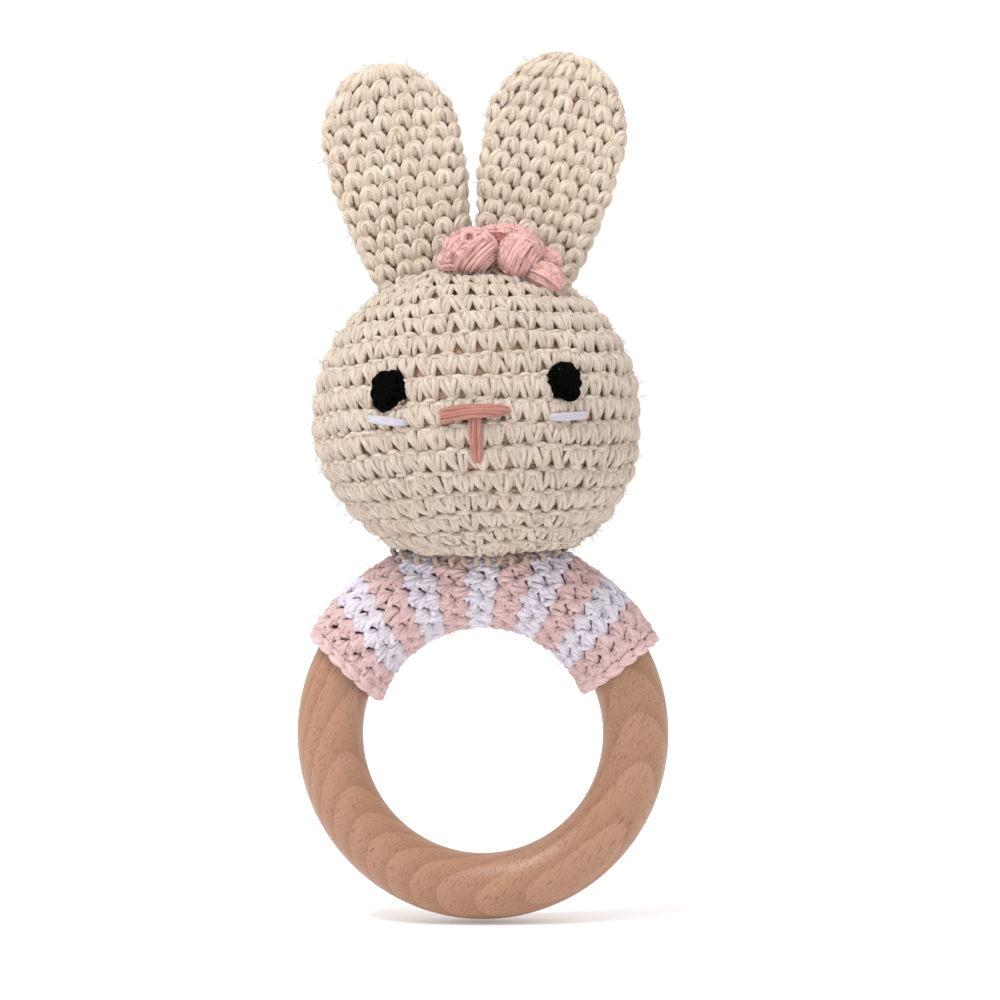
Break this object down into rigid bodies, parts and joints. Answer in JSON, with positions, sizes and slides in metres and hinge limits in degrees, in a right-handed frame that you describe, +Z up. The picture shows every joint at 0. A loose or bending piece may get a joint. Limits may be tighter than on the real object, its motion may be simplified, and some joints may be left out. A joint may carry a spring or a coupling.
{
  "type": "baby rattle",
  "caption": "Crocheted rabbit-head rattle on a wooden teething ring, with floppy ears, a flower and a striped sleeve that grips the ring.",
  "frame": {"origin": "centre of the wooden ring, which is where a hand or a clip strap holds it", "axes": "+Z up from the ring through the head to the ears, -Y out of the face, Y along the ring's axis, +X to the rabbit's left"},
  "size_m": [0.07, 0.0632, 0.1645],
  "materials": {
    "beech_wood": "smooth sanded beech with a light oil finish",
    "pink_cotton": "plied cotton yarn, crocheted",
    "white_cotton": "plied cotton yarn, crocheted",
    "cream_cotton": "plied cotton yarn, crocheted",
    "fibre_fill": "loose polyester filling",
    "capsule_plastic": "plain moulded plastic",
    "bead_plastic": "plain moulded plastic",
    "black_yarn": "matt black yarn, embroidered",
    "mauve_floss": "dusky pink embroidery floss",
    "rose_yarn": "soft brushed yarn with a short halo of fibres"
  },
  "bodies": {
    "ring": {"wooden_ring": "beech_wood"},
    "sleeve": {"sleeve_pink_rows": "pink_cotton", "sleeve_white_rows": "white_cotton", "sleeve_edge_left": "pink_cotton", "sleeve_edge_right": "pink_cotton", "sleeve_seam_thread": "pink_cotton"},
    "head": {"head_cover": "cream_cotton", "head_stuffing": "fibre_fill", "neck_seam_stitches": "cream_cotton", "rattle_capsule_upper": "capsule_plastic", "rattle_capsule_lower": "capsule_plastic", "ear_seam_left": "cream_cotton", "ear_seam_right": "cream_cotton", "eye_left": "black_yarn", "eye_right": "black_yarn", "cheek_stitch_left": "white_cotton", "cheek_stitch_right": "white_cotton", "nose_stitches": "mauve_floss", "mouth_stitches": "mauve_floss", "flower_petal_1": "rose_yarn", "flower_petal_2": "rose_yarn", "flower_petal_3": "rose_yarn", "flower_petal_4": "rose_yarn", "flower_petal_5": "rose_yarn", "flower_centre": "rose_yarn"},
    "ear_left": {"ear_left": "cream_cotton"},
    "ear_right": {"ear_right": "cream_cotton"},
    "rattle_bead_1": {"rattle_bead_1": "bead_plastic"},
    "rattle_bead_2": {"rattle_bead_2": "bead_plastic"},
    "rattle_bead_3": {"rattle_bead_3": "bead_plastic"},
    "rattle_bead_4": {"rattle_bead_4": "bead_plastic"},
    "rattle_bead_5": {"rattle_bead_5": "bead_plastic"}
  },
  "joints": [
    {"name": "sleeve_turn", "type": "hinge", "parent": "ring", "child": "sleeve", "pos_m": [0, 0, 0], "axis": [0, 1, 0], "continuous": true},
    {"name": "head_nod", "type": "hinge", "parent": "sleeve", "child": "head", "pos_m": [-0.00055, 0, 0.0288], "axis": [0.9998, 0, 0.0192], "range_deg": [-10, 10], "stiffness_Nm_per_rad": 0.5},
    {"name": "ear_left_flop", "type": "hinge", "parent": "head", "child": "ear_left", "pos_m": [0.0092, 0.0034, 0.09199], "axis": [0.9998, 0, 0.0192], "range_deg": [-70, 30], "stiffness_Nm_per_rad": 0.02},
    {"name": "ear_right_flop", "type": "hinge", "parent": "head", "child": "ear_right", "pos_m": [-0.01266, 0.0034, 0.09157], "axis": [0.9998, 0, 0.0192], "range_deg": [-70, 30], "stiffness_Nm_per_rad": 0.02},
    {"name": "rattle_bead_1_run", "type": "slide", "parent": "head", "child": "rattle_bead_1", "axis": [-0.0192, 0, 0.9998], "range_m": [0, 0.0185]},
    {"name": "rattle_bead_2_run", "type": "slide", "parent": "head", "child": "rattle_bead_2", "axis": [-0.0192, 0, 0.9998], "range_m": [0, 0.01474]},
    {"name": "rattle_bead_3_run", "type": "slide", "parent": "head", "child": "rattle_bead_3", "axis": [-0.0192, 0, 0.9998], "range_m": [0, 0.01474]},
    {"name": "rattle_bead_4_run", "type": "slide", "parent": "head", "child": "rattle_bead_4", "axis": [-0.0192, 0, 0.9998], "range_m": [0, 0.01474]},
    {"name": "rattle_bead_5_run", "type": "slide", "parent": "head", "child": "rattle_bead_5", "axis": [-0.0192, 0, 0.9998], "range_m": [0, 0.01474]}
  ]
}
